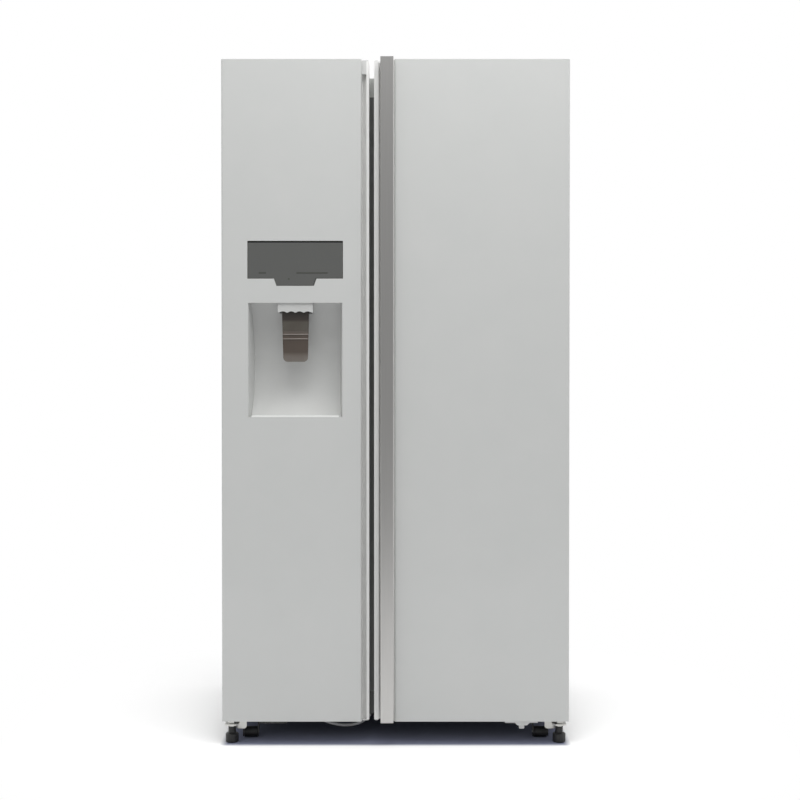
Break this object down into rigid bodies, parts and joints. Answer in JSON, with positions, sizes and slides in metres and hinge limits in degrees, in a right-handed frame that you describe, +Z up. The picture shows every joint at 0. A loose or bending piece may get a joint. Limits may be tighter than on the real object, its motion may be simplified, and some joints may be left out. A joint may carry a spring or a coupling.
{
  "type": "side by side refrigerator",
  "caption": "White side by side refrigerator with a narrow freezer door holding a display and ice dispenser, and a wide fridge door with a full-height bar handle.",
  "frame": {"origin": "on the floor below the middle of the envelope", "axes": "+Z up, the doors face -Y, +X to the viewer's right"},
  "size_m": [0.904, 0.74, 1.79],
  "materials": {
    "white_enamel": "satin white baked enamel on steel sheet",
    "galvanised_steel": "galvanised steel sheet",
    "zinc_plated_steel": "bright zinc-plated pressed steel",
    "insulation_foam": "rigid polyurethane foam",
    "white_liner": "thermoformed white polystyrene",
    "light_grey_trim": "moulded light grey ABS",
    "white_moulding": "moulded white ABS",
    "satin_aluminium": "satin anodised extrusion",
    "coil_aluminium": "bare aluminium fins",
    "smoked_display": "smoked grey acrylic",
    "smoked_lever": "smoked translucent polycarbonate",
    "black_plastic": "moulded black nylon",
    "black_enamel": "gloss black enamel",
    "seal_rubber": "soft grey-white PVC",
    "grommet_rubber": "black rubber",
    "clear_tub": "clear polystyrene",
    "shelf_glass": "tempered glass",
    "light_lens": "frosted acrylic lens",
    "grey_tube": "soft grey polyethylene tube",
    "valve_nylon": "moulded white nylon"
  },
  "bodies": {
    "cabinet": {"cabinet_wrapper": "white_enamel", "back_panel": "galvanised_steel", "base_deck": "black_enamel", "cabinet_foam": "insulation_foam", "freezer_liner": "white_liner", "fridge_liner": "white_liner", "mullion_strip": "white_enamel", "top_hinges": "zinc_plated_steel", "hinge_covers": "white_moulding", "bottom_hinges": "zinc_plated_steel", "compressor": "black_enamel", "compressor_grommets": "grommet_rubber", "fan_shroud": "black_plastic", "condenser": "coil_aluminium", "drain_pan": "black_plastic", "water_valve": "valve_nylon", "machine_cover": "galvanised_steel", "evaporator": "coil_aluminium", "evaporator_cover": "white_liner", "freezer_shelves": "shelf_glass", "ice_bucket": "clear_tub", "ice_maker": "white_liner", "fridge_shelves": "shelf_glass", "air_duct": "white_liner", "interior_lights": "light_lens", "wall_spacers": "black_plastic", "water_tube": "grey_tube"},
    "freezer_door": {"freezer_door_skin": "white_enamel", "freezer_door_core": "insulation_foam", "freezer_door_liner": "white_liner", "freezer_door_gasket": "seal_rubber", "freezer_door_caps": "white_moulding", "freezer_edge_trim": "light_grey_trim", "freezer_door_bins": "clear_tub", "dispenser_housing": "white_moulding", "dispenser_nozzle": "white_moulding", "drip_tray": "white_moulding", "display_panel": "smoked_display", "control_module": "black_plastic"},
    "fridge_door": {"fridge_door_skin": "white_enamel", "fridge_door_core": "insulation_foam", "fridge_door_liner": "white_liner", "fridge_door_gasket": "seal_rubber", "fridge_door_caps": "white_moulding", "fridge_edge_trim": "light_grey_trim", "handle_bar": "satin_aluminium", "fridge_door_bins": "clear_tub"},
    "dispenser_lever": {"dispenser_lever": "smoked_lever"},
    "freezer_drawer_lower": {"freezer_drawer_lower": "clear_tub"},
    "freezer_drawer_upper": {"freezer_drawer_upper": "clear_tub"},
    "crisper_lower": {"crisper_lower": "clear_tub"},
    "crisper_upper": {"crisper_upper": "clear_tub"},
    "condenser_fan": {"condenser_fan": "black_plastic"},
    "evaporator_fan": {"evaporator_fan": "black_plastic"},
    "levelling_foot_left": {"levelling_foot_left": "black_plastic"},
    "levelling_foot_right": {"levelling_foot_right": "black_plastic"},
    "front_roller_left": {"front_roller_left": "black_plastic"},
    "front_roller_right": {"front_roller_right": "black_plastic"},
    "rear_roller_left": {"rear_roller_left": "black_plastic"},
    "rear_roller_right": {"rear_roller_right": "black_plastic"}
  },
  "joints": [
    {"name": "freezer_door_hinge", "type": "hinge", "parent": "cabinet", "child": "freezer_door", "pos_m": [-0.43, -0.313, 0.062], "axis": [0, 0, -1], "range_deg": [0, 120]},
    {"name": "fridge_door_hinge", "type": "hinge", "parent": "cabinet", "child": "fridge_door", "pos_m": [0.43, -0.313, 0.062], "axis": [0, 0, 1], "range_deg": [0, 120]},
    {"name": "dispenser_lever_push", "type": "hinge", "parent": "freezer_door", "child": "dispenser_lever", "pos_m": [-0.26025, -0.337, 1.1397], "axis": [1, 0, 0], "range_deg": [0, 10], "stiffness_Nm_per_rad": 0.5},
    {"name": "freezer_drawer_lower_slide", "type": "slide", "parent": "cabinet", "child": "freezer_drawer_lower", "axis": [0, -1, 0], "range_m": [0, 0.115]},
    {"name": "freezer_drawer_upper_slide", "type": "slide", "parent": "cabinet", "child": "freezer_drawer_upper", "axis": [0, -1, 0], "range_m": [0, 0.115]},
    {"name": "crisper_lower_slide", "type": "slide", "parent": "cabinet", "child": "crisper_lower", "axis": [0, -1, 0], "range_m": [0, 0.115]},
    {"name": "crisper_upper_slide", "type": "slide", "parent": "cabinet", "child": "crisper_upper", "axis": [0, -1, 0], "range_m": [0, 0.115]},
    {"name": "condenser_fan_spin", "type": "hinge", "parent": "cabinet", "child": "condenser_fan", "pos_m": [-0.109, 0.247, 0.151], "axis": [1, 0, 0], "continuous": true},
    {"name": "evaporator_fan_spin", "type": "hinge", "parent": "cabinet", "child": "evaporator_fan", "pos_m": [-0.24625, 0.236, 1.5], "axis": [0, 1, 0], "continuous": true},
    {"name": "levelling_foot_left_spin", "type": "hinge", "parent": "cabinet", "child": "levelling_foot_left", "pos_m": [-0.43, -0.313, 0], "axis": [0, 0, 1], "continuous": true},
    {"name": "levelling_foot_right_spin", "type": "hinge", "parent": "cabinet", "child": "levelling_foot_right", "pos_m": [0.43, -0.313, 0], "axis": [0, 0, 1], "continuous": true},
    {"name": "front_roller_left_spin", "type": "hinge", "parent": "cabinet", "child": "front_roller_left", "pos_m": [-0.385, -0.266, 0.015], "axis": [1, 0, 0], "continuous": true},
    {"name": "front_roller_right_spin", "type": "hinge", "parent": "cabinet", "child": "front_roller_right", "pos_m": [0.385, -0.266, 0.015], "axis": [1, 0, 0], "continuous": true},
    {"name": "rear_roller_left_spin", "type": "hinge", "parent": "cabinet", "child": "rear_roller_left", "pos_m": [-0.385, 0.3, 0.018], "axis": [1, 0, 0], "continuous": true},
    {"name": "rear_roller_right_spin", "type": "hinge", "parent": "cabinet", "child": "rear_roller_right", "pos_m": [0.385, 0.3, 0.018], "axis": [1, 0, 0], "continuous": true}
  ]
}
